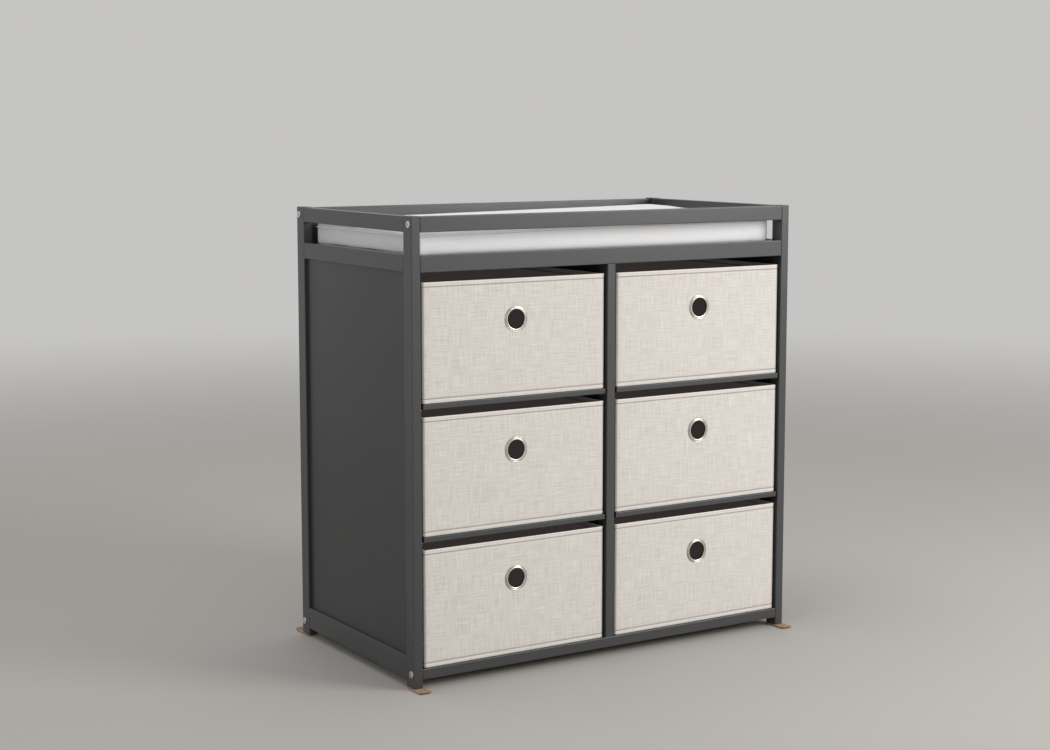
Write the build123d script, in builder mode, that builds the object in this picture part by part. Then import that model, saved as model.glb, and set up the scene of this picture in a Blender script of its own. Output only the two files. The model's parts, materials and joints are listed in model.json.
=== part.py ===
from build123d import *
import os

# Changing table: a bolted timber frame with thin panels, six fabric bins on shelves,
# and a padded tray on top. Millimetres, +Z up, the front faces -Y.
# The origin is on the floor, midway between the sides and between the front and the back.

os.makedirs("parts", exist_ok=True)

# Overall size of the timber frame, without the foot pads and the bolt heads
frame_width = 914.0
frame_depth = 495.0
frame_height = 914.0

# Posts, rails and boards
post_width = 19.0
post_depth = 32.0
rail_thickness = 20.0
edge_radius = 1.5
rail_drop = 1.0
top_rail_height = 30.0
rail_gap = 43.0
middle_rail_height = 33.0
front_bottom_rail_z = (19.5, 40.5)
side_bottom_rail_z = (18.0, 63.0)
tray_board_drop = 2.0
board_thickness = 10.0
board_gap = 0.5

# Panels and the grooves that hold them
side_panel_thickness = 6.0
centre_panel_thickness = 6.0
back_panel_thickness = 4.0
back_panel_inset = 8.0
groove_depth = 5.0
groove_play = 0.2

# Shelves and their pins
level_pitch = 257.75
shelf_width = 419.0
shelf_rear_gap = 1.5
shelf_edge_radius = 1.0
pin_diameter = 5.0
pin_in_wood = 7.0
pin_under_shelf = 8.0
pin_inset = 16.0

# Cleats under the deck and under the bottom board, and their screws
cleat_width = 12.0
cleat_height = 10.0
deck_cleat_lift = 6.0
screw_shank = 3.5
screw_head = 7.0
screw_head_height = 2.0
screw_length = 21.0
long_cleat_screws = (-380.0, -127.0, 127.0, 380.0)
short_cleat_screws = (-150.0, 150.0)

# Dowels
dowel_diameter = 8.0
dowel_length = 30.0
dowel_in_post = 12.0
stile_dowel_diameter = 6.0
stile_dowel_length = 24.0
stile_dowel_inset = 15.5
hole_play = 0.2
hole_extra_depth = 1.0

# Connector bolts and barrel nuts
bolt_inset = 11.0
bolt_shank = 6.0
bolt_hole = 6.5
bolt_reach = 52.0
bolt_head = 14.0
bolt_head_height = 2.2
bolt_head_radius = 1.2
socket_flats = 5.0
socket_depth = 2.0
nut_diameter = 10.0
nut_length = 12.0
nut_from_rail_end = 24.0

# Foot pads, thin strips under the posts with a lifted outer end
foot_thickness = 3.0
foot_width = 25.0
foot_overhang = 30.0
foot_length = 60.0
foot_curl_length = 15.0
foot_curl_rise = 3.0
foot_corner = 4.0

# Fabric bins, their base boards and their grommets
bin_width = 415.0
bin_height = 232.0
bin_rear_gap = 3.0
bin_wall = 3.0
bin_corner = 2.5
bin_recess = 4.0
base_thickness = 3.0
base_gap = 1.0
grommet_drop = 80.0
grommet_radius = 25.5
grommet_bore = 19.0
grommet_barrel = 20.4
grommet_clench = 22.8
grommet_dome = 1.8
grommet_bead = 1.2
grommet_valley = 23.3
grommet_valley_rise = 0.6
grommet_lip = 0.4
clench_height = 1.4

# Changing pad, thicker towards its right-hand end
pad_end_gap = 2.5
pad_side_gap = 4.5
pad_top_left = 880.0
pad_top_right = 893.0
pad_corner = 8.0

# Clearance between parts that move apart
clearance = 0.3

# Faces and levels that follow from the sizes above. Names in _x and _y are distances from
# the middle of the table, and pairs are the lower and the upper limit.
side_x = frame_width / 2
inner_x = side_x - post_width
post_centre_x = side_x - post_width / 2
stile_x = post_width / 2
bay_x = (inner_x + stile_x) / 2
face_y = frame_depth / 2
post_inner_y = face_y - post_depth
rail_inner_y = face_y - rail_thickness
rail_centre_y = face_y - rail_thickness / 2
bolt_y = face_y - bolt_inset
pin_y = face_y - pin_inset
stile_dowel_y = face_y - stile_dowel_inset
back_panel_y = (face_y - back_panel_inset - back_panel_thickness, face_y - back_panel_inset)
rear_stile_y = (back_panel_y[0] - post_depth, back_panel_y[0])
front_stile_y = (-face_y, -post_inner_y)
bin_y = (-face_y + bin_recess, back_panel_y[0] - bin_rear_gap)
bin_depth = bin_y[1] - bin_y[0]
bin_centre_y = sum(bin_y) / 2

top_rail_z = (frame_height - rail_drop - top_rail_height, frame_height - rail_drop)
middle_rail_z = (top_rail_z[0] - rail_gap - middle_rail_height, top_rail_z[0] - rail_gap)
tray_board_z = (middle_rail_z[0], frame_height - tray_board_drop)
floor_z = front_bottom_rail_z[1]
stile_z = (floor_z, middle_rail_z[0])
deck_cleat_z = (middle_rail_z[0] + deck_cleat_lift, middle_rail_z[0] + deck_cleat_lift + cleat_height)
deck_z = (deck_cleat_z[1], deck_cleat_z[1] + board_thickness)
bottom_board_z = (floor_z - board_thickness, floor_z)
bottom_cleat_z = (bottom_board_z[0] - cleat_height, bottom_board_z[0])
side_panel_z = (side_bottom_rail_z[1] - groove_depth, middle_rail_z[0] + groove_depth)
back_panel_z = (floor_z - groove_depth, middle_rail_z[0] + groove_depth)
centre_panel_z = (floor_z, deck_cleat_z[0])
bolt_z = {"top": sum(top_rail_z) / 2, "bottom": sum(front_bottom_rail_z) / 2}
shelf_tops = {"lower": floor_z + level_pitch, "upper": floor_z + 2 * level_pitch}
bin_floors = {"bottom": floor_z, "middle": shelf_tops["lower"], "top": shelf_tops["upper"]}
pin_z = [top - board_thickness - pin_diameter / 2 for top in shelf_tops.values()]

sides = {"left": -1, "right": 1}
ends = {"front": -1, "rear": 1}


def quarters(low, high):
    """The two heights of a pair of dowels in a rail that reaches from low to high."""
    quarter = (high - low) / 4
    return [low + quarter, high - quarter]


# Heights of the dowels at the ends of each rail, clear of the panel grooves
side_rail_dowels = {
    "top": quarters(*top_rail_z),
    "middle": quarters(side_panel_z[1], middle_rail_z[1]),
    "bottom": quarters(side_bottom_rail_z[0], side_panel_z[0]),
}
cross_rail_dowels = {
    "front": quarters(*middle_rail_z),
    "rear": quarters(middle_rail_z[1], top_rail_z[0]),
}


def write(part, name):
    """Label a finished piece, write its STEP file and print its volume."""
    part.label = name
    export_step(part, f"parts/{name}.step")
    print(name, round(part.volume))


def limits(low, high, side=1):
    """The stretch from low to high, carried over to the negative side where side is -1."""
    return tuple(sorted((side * low, side * high)))


def grown(stretch, play):
    """A stretch made longer by play in all, half of it at each end."""
    return (stretch[0] - play / 2, stretch[1] + play / 2)


def about(centre, size):
    """The stretch of a given size around a centre."""
    return (centre - size / 2, centre + size / 2)


def level(z):
    """The horizontal plane at height z. It reads X, Y."""
    return Plane.XY.offset(z)


def across(y):
    """The upright plane at a distance y from the middle. It reads X, Z and faces the front."""
    return Plane.XZ.offset(-y)


def along(x):
    """The upright plane at a distance x from the middle. It reads Y, Z and faces right."""
    return Plane.YZ.offset(x)


def rectangle(plane, u, v):
    """A rectangle on a plane, between limits in the plane's two directions."""
    with BuildSketch(plane) as outline:
        with Locations((sum(u) / 2, sum(v) / 2)):
            Rectangle(u[1] - u[0], v[1] - v[0])
    return outline.sketch


def discs(plane, centres, diameter):
    """Discs of one diameter on a plane."""
    with BuildSketch(plane) as outline:
        with Locations(*centres):
            Circle(diameter / 2)
    return outline.sketch


def screw_points(z, positions):
    """Screw centres along a cleat whose limits in height are z."""
    return [(position, sum(z) / 2) for position in positions]


# ---------------------------------------------------------------- side frames


def make_post(side, end):
    """A corner post with its panel grooves and its dowel, bolt and shelf pin holes."""
    s, e = sides[side], ends[end]
    dowels = [(s * post_centre_x, z) for pair in side_rail_dowels.values() for z in pair]
    cross_dowels = [(e * rail_centre_y, z) for z in cross_rail_dowels[end]]
    bolt_centres = [(e * bolt_y, z) for z in bolt_z.values()]
    pin_centres = [(e * pin_y, z) for z in pin_z]
    panel_x = about(s * post_centre_x, side_panel_thickness + groove_play)
    bores = along(s * inner_x)
    with BuildPart() as post:
        extrude(
            rectangle(level(foot_thickness), limits(inner_x, side_x, s), limits(post_inner_y, face_y, e)),
            amount=frame_height - foot_thickness,
        )
        fillet(post.edges(), edge_radius)
        # Side rails and side panel, on the face that looks along the side
        extrude(
            discs(across(e * post_inner_y), dowels, dowel_diameter + hole_play),
            amount=-e * (dowel_in_post + hole_extra_depth),
            mode=Mode.SUBTRACT,
        )
        extrude(
            rectangle(across(e * post_inner_y), panel_x, side_panel_z),
            amount=-e * (groove_depth + groove_play),
            mode=Mode.SUBTRACT,
        )
        # Connector bolts, right through
        extrude(discs(bores, bolt_centres, bolt_hole), amount=s * post_width, mode=Mode.SUBTRACT)
        # Dowels of the front middle rail or of the tray board
        extrude(
            discs(bores, cross_dowels, dowel_diameter + hole_play),
            amount=s * (dowel_in_post + hole_extra_depth),
            mode=Mode.SUBTRACT,
        )
        # Shelf pins
        extrude(
            discs(bores, pin_centres, pin_diameter + hole_play),
            amount=s * (pin_in_wood + hole_extra_depth),
            mode=Mode.SUBTRACT,
        )
        if end == "rear":
            extrude(
                rectangle(bores, grown(back_panel_y, groove_play), grown(back_panel_z, groove_play)),
                amount=s * (groove_depth + groove_play),
                mode=Mode.SUBTRACT,
            )
    write(post.part, f"post_{end}_{side}")


def make_side_rail(side, place, z):
    """A rail between the two posts of one side, grooved where it holds the side panel."""
    s = sides[side]
    dowels = [(s * post_centre_x, height) for height in side_rail_dowels[place]]
    panel_x = about(s * post_centre_x, side_panel_thickness + groove_play)
    with BuildPart() as rail:
        extrude(
            rectangle(level(z[0]), limits(inner_x, side_x, s), (-post_inner_y, post_inner_y)),
            amount=z[1] - z[0],
        )
        fillet(rail.edges(), edge_radius)
        for e in ends.values():
            extrude(
                discs(across(e * post_inner_y), dowels, dowel_diameter + hole_play),
                amount=e * (dowel_length - dowel_in_post + hole_extra_depth),
                mode=Mode.SUBTRACT,
            )
        if place != "top":
            # The panel stands on the bottom rail and reaches up into the middle rail
            groove_z, direction = (z[0], 1) if place == "middle" else (z[1], -1)
            cleat_z = deck_cleat_z if place == "middle" else bottom_cleat_z
            extrude(
                rectangle(level(groove_z), panel_x, (-post_inner_y, post_inner_y)),
                amount=direction * (groove_depth + groove_play),
                mode=Mode.SUBTRACT,
            )
            extrude(
                discs(along(s * inner_x), screw_points(cleat_z, short_cleat_screws), screw_shank),
                amount=s * (screw_length - cleat_width + hole_extra_depth),
                mode=Mode.SUBTRACT,
            )
    write(rail.part, f"side_{place}_rail_{side}")


def make_side_panel(side):
    """A thin panel that stands in the grooves of two posts and two rails."""
    reach = post_inner_y + groove_depth
    with BuildPart() as panel:
        extrude(
            rectangle(along(sides[side] * post_centre_x), (-reach, reach), side_panel_z),
            amount=side_panel_thickness / 2,
            both=True,
        )
    write(panel.part, f"side_panel_{side}")


# ---------------------------------------------------------------- rails across the table


def make_cross_rail(name, end, z, bolt_height=None, dowels=(), screws=(), stile_hole=0, groove=0):
    """A rail or board between two posts. stile_hole and groove are +1 on its upper face and -1 below."""
    e = ends[end]
    inner = e * rail_inner_y
    stile_face = z[1] if stile_hole > 0 else z[0]
    groove_face = z[1] if groove > 0 else z[0]
    nut_face = max(e * rail_inner_y, e * face_y)
    nut_floor = e * bolt_y - nut_length / 2
    nut_x = inner_x - nut_from_rail_end
    with BuildPart() as rail:
        extrude(
            rectangle(level(z[0]), (-inner_x, inner_x), limits(rail_inner_y, face_y, e)),
            amount=z[1] - z[0],
        )
        fillet(rail.edges(), edge_radius)
        for s in sides.values():
            if bolt_height:
                extrude(
                    discs(along(s * inner_x), [(e * bolt_y, bolt_height)], bolt_hole),
                    amount=-s * (bolt_reach - post_width + hole_extra_depth),
                    mode=Mode.SUBTRACT,
                )
                extrude(
                    discs(across(nut_face), [(s * nut_x, bolt_height)], nut_diameter + hole_play),
                    amount=nut_face - nut_floor,
                    mode=Mode.SUBTRACT,
                )
            if dowels:
                extrude(
                    discs(
                        along(s * inner_x),
                        [(e * rail_centre_y, height) for height in dowels],
                        dowel_diameter + hole_play,
                    ),
                    amount=-s * (dowel_length - dowel_in_post + hole_extra_depth),
                    mode=Mode.SUBTRACT,
                )
        if screws:
            extrude(
                discs(across(inner), screws, screw_shank),
                amount=-e * (screw_length - cleat_width + hole_extra_depth),
                mode=Mode.SUBTRACT,
            )
        if stile_hole:
            extrude(
                discs(level(stile_face), [(0, e * stile_dowel_y)], stile_dowel_diameter + hole_play),
                amount=-stile_hole * (stile_dowel_length / 2 + hole_extra_depth / 2),
                mode=Mode.SUBTRACT,
            )
        if groove:
            extrude(
                rectangle(level(groove_face), (-inner_x, inner_x), grown(back_panel_y, groove_play)),
                amount=-groove * (groove_depth + groove_play),
                mode=Mode.SUBTRACT,
            )
    write(rail.part, name)


# ---------------------------------------------------------------- back, deck, bottom and divider


def make_back_panel():
    """A thin panel in the grooves of the rear posts, the tray board and the rear bottom rail."""
    reach = inner_x + groove_depth
    with BuildPart() as panel:
        face = rectangle(across(back_panel_y[0]), (-reach, reach), back_panel_z)
        extrude(face, amount=-back_panel_thickness)
    write(panel.part, "back_panel")


def make_board(name, z):
    """A board that fills the frame between the rails and the posts and lies on cleats."""
    x = inner_x - board_gap
    y = rail_inner_y - board_gap
    with BuildPart() as board:
        extrude(rectangle(level(z[0]), (-x, x), (-y, y)), amount=z[1] - z[0])
    write(board.part, name)


def screw_faces(z):
    """Each cleat face at one level with its screw centres, and the sign of an extrusion into the rail."""
    for e in ends.values():
        yield across(e * (rail_inner_y - cleat_width)), screw_points(z, long_cleat_screws), -e
    for s in sides.values():
        yield along(s * (inner_x - cleat_width)), screw_points(z, short_cleat_screws), s


def make_cleats(name, z, bearer=False):
    """Four strips screwed to the rails all round, and a bearer from front to back on the deck level."""
    long_reach = inner_x - board_gap
    side_reach = rail_inner_y - cleat_width - board_gap
    with BuildPart() as cleats:
        for e in ends.values():
            y = limits(rail_inner_y - cleat_width, rail_inner_y, e)
            extrude(rectangle(level(z[0]), (-long_reach, long_reach), y), amount=cleat_height)
        for s in sides.values():
            x = limits(inner_x - cleat_width, inner_x, s)
            extrude(rectangle(level(z[0]), x, (-side_reach, side_reach)), amount=cleat_height)
        if bearer:
            x = (-cleat_width / 2, cleat_width / 2)
            extrude(rectangle(level(z[0]), x, (-side_reach, side_reach)), amount=cleat_height)
        for face, centres, direction in screw_faces(z):
            extrude(discs(face, centres, screw_shank), amount=direction * cleat_width, mode=Mode.SUBTRACT)
            extrude(
                discs(face, centres, screw_head + hole_play),
                amount=direction * screw_head_height,
                mode=Mode.SUBTRACT,
            )
    write(cleats.part, name)


def make_stile(end, y):
    """An upright in the middle, grooved for the centre panel, with shelf pin holes in both sides."""
    e = ends[end]
    groove_face = y[1] if end == "front" else y[0]
    groove_x = about(0, centre_panel_thickness + groove_play)
    with BuildPart() as stile:
        extrude(rectangle(level(stile_z[0]), (-stile_x, stile_x), y), amount=stile_z[1] - stile_z[0])
        fillet(stile.edges().filter_by(Axis.Z), edge_radius)
        extrude(
            rectangle(across(groove_face), groove_x, stile_z),
            amount=-e * (groove_depth + groove_play),
            mode=Mode.SUBTRACT,
        )
        for s in sides.values():
            extrude(
                discs(along(s * stile_x), [(e * pin_y, z) for z in pin_z], pin_diameter + hole_play),
                amount=-s * (pin_in_wood + hole_extra_depth),
                mode=Mode.SUBTRACT,
            )
        for height, direction in zip(stile_z, (1, -1)):
            extrude(
                discs(level(height), [(0, e * stile_dowel_y)], stile_dowel_diameter + hole_play),
                amount=direction * (stile_dowel_length / 2 + hole_extra_depth / 2),
                mode=Mode.SUBTRACT,
            )
    write(stile.part, f"centre_stile_{end}")


def make_centre_panel():
    """The thin divider between the two columns of bins."""
    y = (front_stile_y[1] - groove_depth, rear_stile_y[0] + groove_depth)
    with BuildPart() as panel:
        extrude(rectangle(along(0), y, centre_panel_z), amount=centre_panel_thickness / 2, both=True)
    write(panel.part, "centre_panel")


# ---------------------------------------------------------------- shelves and hardware


def make_shelf(place, side):
    """A shelf board with eased front edges, on four pins."""
    s = sides[side]
    top = shelf_tops[place]
    x = limits(bay_x - shelf_width / 2, bay_x + shelf_width / 2, s)
    with BuildPart() as shelf:
        extrude(
            rectangle(level(top - board_thickness), x, (-face_y, back_panel_y[0] - shelf_rear_gap)),
            amount=board_thickness,
        )
        front_edges = shelf.edges().filter_by(Axis.X).group_by(Axis.Y)[0]
        fillet(front_edges, shelf_edge_radius)
    write(shelf.part, f"shelf_{place}_{side}")


def make_shelf_pins():
    """Sixteen metal pins, four under each shelf."""
    with BuildPart() as pins:
        for s in sides.values():
            for e in ends.values():
                centres = [(e * pin_y, z) for z in pin_z]
                extrude(
                    discs(along(s * (inner_x + pin_in_wood)), centres, pin_diameter),
                    amount=-s * (pin_in_wood + pin_under_shelf),
                )
                extrude(
                    discs(along(s * (stile_x - pin_in_wood)), centres, pin_diameter),
                    amount=s * (pin_in_wood + pin_under_shelf),
                )
    write(pins.part, "shelf_pins")


def make_connector_bolts():
    """Eight bolts with flat heads and hexagon sockets, through the posts into the rails."""
    centres = [(e * bolt_y, z) for e in ends.values() for z in bolt_z.values()]
    socket_radius = socket_flats / 3**0.5
    with BuildPart() as bolts:
        for s in sides.values():
            extrude(discs(along(s * side_x), centres, bolt_shank), amount=-s * bolt_reach)
            extrude(discs(along(s * side_x), centres, bolt_head), amount=s * bolt_head_height)
            rims = bolts.edges().filter_by(GeomType.CIRCLE).group_by(Axis.X)[-1 if s > 0 else 0]
            fillet(rims, bolt_head_radius)
            with BuildSketch(along(s * (side_x + bolt_head_height))) as sockets:
                with Locations(*centres):
                    RegularPolygon(socket_radius, 6)
            extrude(sockets.sketch, amount=-s * socket_depth, mode=Mode.SUBTRACT)
    write(bolts.part, "connector_bolts")


def make_barrel_nuts():
    """Eight cross-drilled nuts that the connector bolts screw into."""
    nut_x = inner_x - nut_from_rail_end
    with BuildPart() as nuts:
        for e in ends.values():
            centres = [(s * nut_x, z) for s in sides.values() for z in bolt_z.values()]
            extrude(
                discs(across(e * bolt_y + nut_length / 2), centres, nut_diameter),
                amount=nut_length,
            )
        for s in sides.values():
            centres = [(e * bolt_y, z) for e in ends.values() for z in bolt_z.values()]
            extrude(
                discs(along(s * nut_x), centres, bolt_shank + hole_play),
                amount=nut_diameter,
                both=True,
                mode=Mode.SUBTRACT,
            )
    write(nuts.part, "barrel_nuts")


def make_frame_dowels():
    """Wooden dowels that join the rails to the posts."""
    with BuildPart() as dowels:
        for s in sides.values():
            heights = [z for pair in side_rail_dowels.values() for z in pair]
            for end, e in ends.items():
                extrude(
                    discs(
                        across(e * (post_inner_y + dowel_in_post)),
                        [(s * post_centre_x, z) for z in heights],
                        dowel_diameter,
                    ),
                    amount=e * dowel_length,
                )
                extrude(
                    discs(
                        along(s * (inner_x + dowel_in_post)),
                        [(e * rail_centre_y, z) for z in cross_rail_dowels[end]],
                        dowel_diameter,
                    ),
                    amount=-s * dowel_length,
                )
    write(dowels.part, "frame_dowels")


def make_stile_dowels():
    """Wooden dowels that join the centre stiles to the rails above and below them."""
    centres = [(0, e * stile_dowel_y) for e in ends.values()]
    with BuildPart() as dowels:
        for z in stile_z:
            extrude(discs(level(z), centres, stile_dowel_diameter), amount=stile_dowel_length / 2, both=True)
    write(dowels.part, "stile_dowels")


def make_cleat_screws():
    """Countersunk screws that hold the cleats to the rails."""
    with BuildPart() as screws:
        for z in (deck_cleat_z, bottom_cleat_z):
            for face, centres, direction in screw_faces(z):
                extrude(discs(face, centres, screw_head), amount=direction * screw_head_height)
                extrude(discs(face, centres, screw_shank - hole_play), amount=direction * screw_length)
    write(screws.part, "cleat_screws")


def make_foot_pad(end, side):
    """A strip under a post. Its outer end reaches past the post and curls up."""
    s, e = sides[side], ends[end]
    tip = e * (face_y + foot_overhang)
    bend = e * (face_y + foot_overhang - foot_curl_length)
    inner = e * (face_y + foot_overhang - foot_length)
    mid = foot_thickness / 2
    x = about(s * post_centre_x, foot_width)
    plan_y = limits(face_y + foot_overhang - foot_length, face_y + foot_overhang, e)
    with BuildPart() as pad:
        with BuildSketch(along(x[0])) as profile:
            with BuildLine():
                Line((inner, mid), (bend, mid))
                TangentArc((bend, mid), (tip, mid + foot_curl_rise), tangent=(e, 0))
            trace(line_width=foot_thickness)
        extrude(profile.sketch, amount=foot_width)
        with BuildSketch(level(0)) as plan:
            with Locations((sum(x) / 2, sum(plan_y) / 2)):
                RectangleRounded(foot_width, foot_length, foot_corner)
        extrude(plan.sketch, amount=foot_thickness + 2 * foot_curl_rise, mode=Mode.INTERSECT)
    write(pad.part, f"foot_pad_{end}_{side}")


# ---------------------------------------------------------------- bins and pad


def make_bin(row, side):
    """An open fabric bin with a round finger hole in its front."""
    centre_x = sides[side] * bay_x
    floor = bin_floors[row] + clearance
    hole = (centre_x, floor + bin_height - grommet_drop)
    with BuildPart() as shell:
        with BuildSketch(level(floor)) as outside:
            with Locations((centre_x, bin_centre_y)):
                RectangleRounded(bin_width, bin_depth, bin_corner)
        extrude(outside.sketch, amount=bin_height)
        with BuildSketch(level(floor + bin_wall)) as hollow:
            with Locations((centre_x, bin_centre_y)):
                Rectangle(bin_width - 2 * bin_wall, bin_depth - 2 * bin_wall)
        extrude(hollow.sketch, amount=bin_height, mode=Mode.SUBTRACT)
        extrude(discs(across(bin_y[0]), [hole], 2 * grommet_barrel), amount=-bin_wall, mode=Mode.SUBTRACT)
    write(shell.part, f"bin_{row}_{side}")


def make_bin_base(row, side):
    """The stiff board that lies on the bottom of a bin."""
    margin = bin_wall + base_gap
    with BuildPart() as base:
        with BuildSketch(level(bin_floors[row] + clearance + bin_wall)) as outline:
            with Locations((sides[side] * bay_x, bin_centre_y)):
                Rectangle(bin_width - 2 * margin, bin_depth - 2 * margin)
        extrude(outline.sketch, amount=base_thickness)
    write(base.part, f"base_{row}_{side}")


def make_grommet(row, side):
    """A metal ring with a fine outer bead and a domed lip, and a barrel through the fabric that is
    rolled over on the inside."""
    hole_z = bin_floors[row] + clearance + bin_height - grommet_drop
    centre = (sides[side] * bay_x, bin_y[0], hole_z)
    section = Plane(origin=centre, x_dir=(1, 0, 0), z_dir=(0, 0, 1))
    bead_mid = (grommet_radius + grommet_valley) / 2
    dome_mid = (grommet_valley + grommet_bore) / 2
    valley = (grommet_valley, -grommet_valley_rise)
    mouth = (grommet_bore, -grommet_lip)
    clench_mid = (grommet_bore + grommet_clench) / 2
    clench_top = bin_wall + clench_height
    with BuildPart() as grommet:
        with BuildSketch(section) as profile:
            with BuildLine():
                ThreePointArc((grommet_radius, 0), (bead_mid, -grommet_bead), valley)
                ThreePointArc(valley, (dome_mid, -grommet_dome), mouth)
                Line(mouth, (grommet_bore, bin_wall))
                ThreePointArc((grommet_bore, bin_wall), (clench_mid, clench_top), (grommet_clench, bin_wall))
                Line((grommet_clench, bin_wall), (grommet_barrel, bin_wall))
                Line((grommet_barrel, bin_wall), (grommet_barrel, 0))
                Line((grommet_barrel, 0), (grommet_radius, 0))
            make_face()
        revolve(profile.sketch, axis=Axis(centre, (0, 1, 0)))
    write(grommet.part, f"grommet_{row}_{side}")


def make_changing_pad():
    """The pad in the tray, a plain wedge with rounded corners."""
    x = inner_x - pad_end_gap
    y = rail_inner_y - pad_side_gap
    floor = deck_z[1] + clearance
    with BuildPart() as pad:
        with BuildSketch(across(y)) as profile:
            with BuildLine():
                Polyline((-x, floor), (x, floor), (x, pad_top_right), (-x, pad_top_left), close=True)
            make_face()
        extrude(profile.sketch, amount=2 * y)
        fillet(pad.edges().filter_by(Axis.Z), pad_corner)
    write(pad.part, "changing_pad")


# ---------------------------------------------------------------- the whole table

for side in sides:
    for end in ends:
        make_post(side, end)
        make_foot_pad(end, side)
    make_side_rail(side, "top", top_rail_z)
    make_side_rail(side, "middle", middle_rail_z)
    make_side_rail(side, "bottom", side_bottom_rail_z)
    make_side_panel(side)
    for place in shelf_tops:
        make_shelf(place, side)
    for row in bin_floors:
        make_bin(row, side)
        make_bin_base(row, side)
        make_grommet(row, side)

make_cross_rail("front_top_rail", "front", top_rail_z, bolt_height=bolt_z["top"])
make_cross_rail(
    "front_middle_rail",
    "front",
    middle_rail_z,
    dowels=cross_rail_dowels["front"],
    screws=screw_points(deck_cleat_z, long_cleat_screws),
    stile_hole=-1,
)
make_cross_rail(
    "front_bottom_rail",
    "front",
    front_bottom_rail_z,
    bolt_height=bolt_z["bottom"],
    screws=screw_points(bottom_cleat_z, long_cleat_screws),
    stile_hole=1,
)
make_cross_rail(
    "rear_tray_board",
    "rear",
    tray_board_z,
    bolt_height=bolt_z["top"],
    dowels=cross_rail_dowels["rear"],
    screws=screw_points(deck_cleat_z, long_cleat_screws),
    stile_hole=-1,
    groove=-1,
)
make_cross_rail(
    "rear_bottom_rail",
    "rear",
    front_bottom_rail_z,
    bolt_height=bolt_z["bottom"],
    screws=screw_points(bottom_cleat_z, long_cleat_screws),
    stile_hole=1,
    groove=1,
)
make_back_panel()
make_board("changing_deck", deck_z)
make_board("bottom_board", bottom_board_z)
make_cleats("deck_cleats", deck_cleat_z, bearer=True)
make_cleats("bottom_cleats", bottom_cleat_z)
make_stile("front", front_stile_y)
make_stile("rear", rear_stile_y)
make_centre_panel()
make_shelf_pins()
make_connector_bolts()
make_barrel_nuts()
make_frame_dowels()
make_stile_dowels()
make_cleat_screws()
make_changing_pad()
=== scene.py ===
import json
import math

import bmesh
import bpy
from mathutils import Matrix, Vector, noise
from mathutils.bvhtree import BVHTree


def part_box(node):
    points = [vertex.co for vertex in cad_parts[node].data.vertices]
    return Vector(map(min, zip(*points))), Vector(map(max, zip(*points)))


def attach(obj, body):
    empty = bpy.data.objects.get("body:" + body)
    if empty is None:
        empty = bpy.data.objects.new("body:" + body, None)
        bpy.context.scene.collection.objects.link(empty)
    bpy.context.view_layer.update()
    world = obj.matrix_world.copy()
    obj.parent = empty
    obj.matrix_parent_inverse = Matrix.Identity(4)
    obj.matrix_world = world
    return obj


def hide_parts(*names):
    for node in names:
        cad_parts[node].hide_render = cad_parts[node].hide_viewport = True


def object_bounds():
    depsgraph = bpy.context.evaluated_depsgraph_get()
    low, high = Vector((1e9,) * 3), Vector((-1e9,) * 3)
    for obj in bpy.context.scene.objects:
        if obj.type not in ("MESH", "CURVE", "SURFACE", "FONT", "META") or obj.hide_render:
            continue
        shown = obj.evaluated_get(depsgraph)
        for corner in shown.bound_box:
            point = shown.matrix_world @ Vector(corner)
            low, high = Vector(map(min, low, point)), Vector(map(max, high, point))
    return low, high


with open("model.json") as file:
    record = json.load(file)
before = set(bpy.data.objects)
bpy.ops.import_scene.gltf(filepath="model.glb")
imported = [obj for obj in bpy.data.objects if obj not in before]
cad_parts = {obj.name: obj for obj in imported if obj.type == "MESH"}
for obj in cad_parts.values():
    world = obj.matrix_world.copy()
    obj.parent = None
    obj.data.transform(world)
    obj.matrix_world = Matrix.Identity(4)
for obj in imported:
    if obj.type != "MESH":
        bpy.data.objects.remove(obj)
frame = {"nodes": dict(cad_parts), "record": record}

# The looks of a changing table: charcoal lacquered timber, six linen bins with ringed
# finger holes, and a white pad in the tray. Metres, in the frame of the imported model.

cad_lo, cad_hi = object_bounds()
nodes = frame["nodes"]

MM = 0.001
AXES = (Vector((1, 0, 0)), Vector((0, 1, 0)), Vector((0, 0, 1)))
AXIS_NAMES = "xyz"
TOUCH = 0.01 * MM  # closer than this is the same place
SQUARE_ON = 0.9  # how much of a normal lies along an axis on a face square to it

ROWS = ("bottom", "middle", "top")
SIDES = ("left", "right")

# Camera: a little above the tray, in front of the table and to its left
CAMERA_PLACE = Vector((-2.164, -3.360, 1.088))
CAMERA_YAW = math.radians(32.18)
CAMERA_PITCH = math.radians(-7.0)
CAMERA_LENS = 64.94
CAMERA_SENSOR = 36.0
CAMERA_SHIFT = -0.019

# Bin walls: cloth over stiff board, with a thin lining just inside
COVER_THICKNESS = 2.3 * MM
LINING_THICKNESS = 0.5 * MM
LINING_INSET = 2.45 * MM
LINING_DROP = 0.8 * MM
CORNER_RADIUS = 1.6 * MM
BOTTOM_FOLD = 1.2 * MM
WALL_PITCH = 15 * MM

# Hem, binding and corner seams of a bin
HEM = 9 * MM
HEM_CREASE = 4.8 * MM
HEM_RISE = 0.3 * MM
BINDING = 9 * MM
BINDING_RISE = 0.3 * MM
CORNER_SEAM = 4.2 * MM
CORNER_RISE = 0.9 * MM
CORNER_FACING = 0.5
SEAM_REACH = 1.4 * MM
SEAM_DEPTH = 1.1 * MM
CREASE_DEPTH = 0.4 * MM
RIM_STEP = 1.2 * MM
# Rim attribute: a painted highlight on the top rim, and a lighter tone over the hem and binding
# bands
RIM_HIGHLIGHT = 1.0
HEM_LIGHTER = 0.15
BINDING_LIGHTER = 0.25

# Finger hole, and the flat cloth round its ring
HOLE_RADIUS = 20.6 * MM
HOLE_BLOCK = 32 * MM
HOLE_CUTS = 6
FLAT_RING = 27 * MM
FLAT_FADE = 40 * MM

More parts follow.
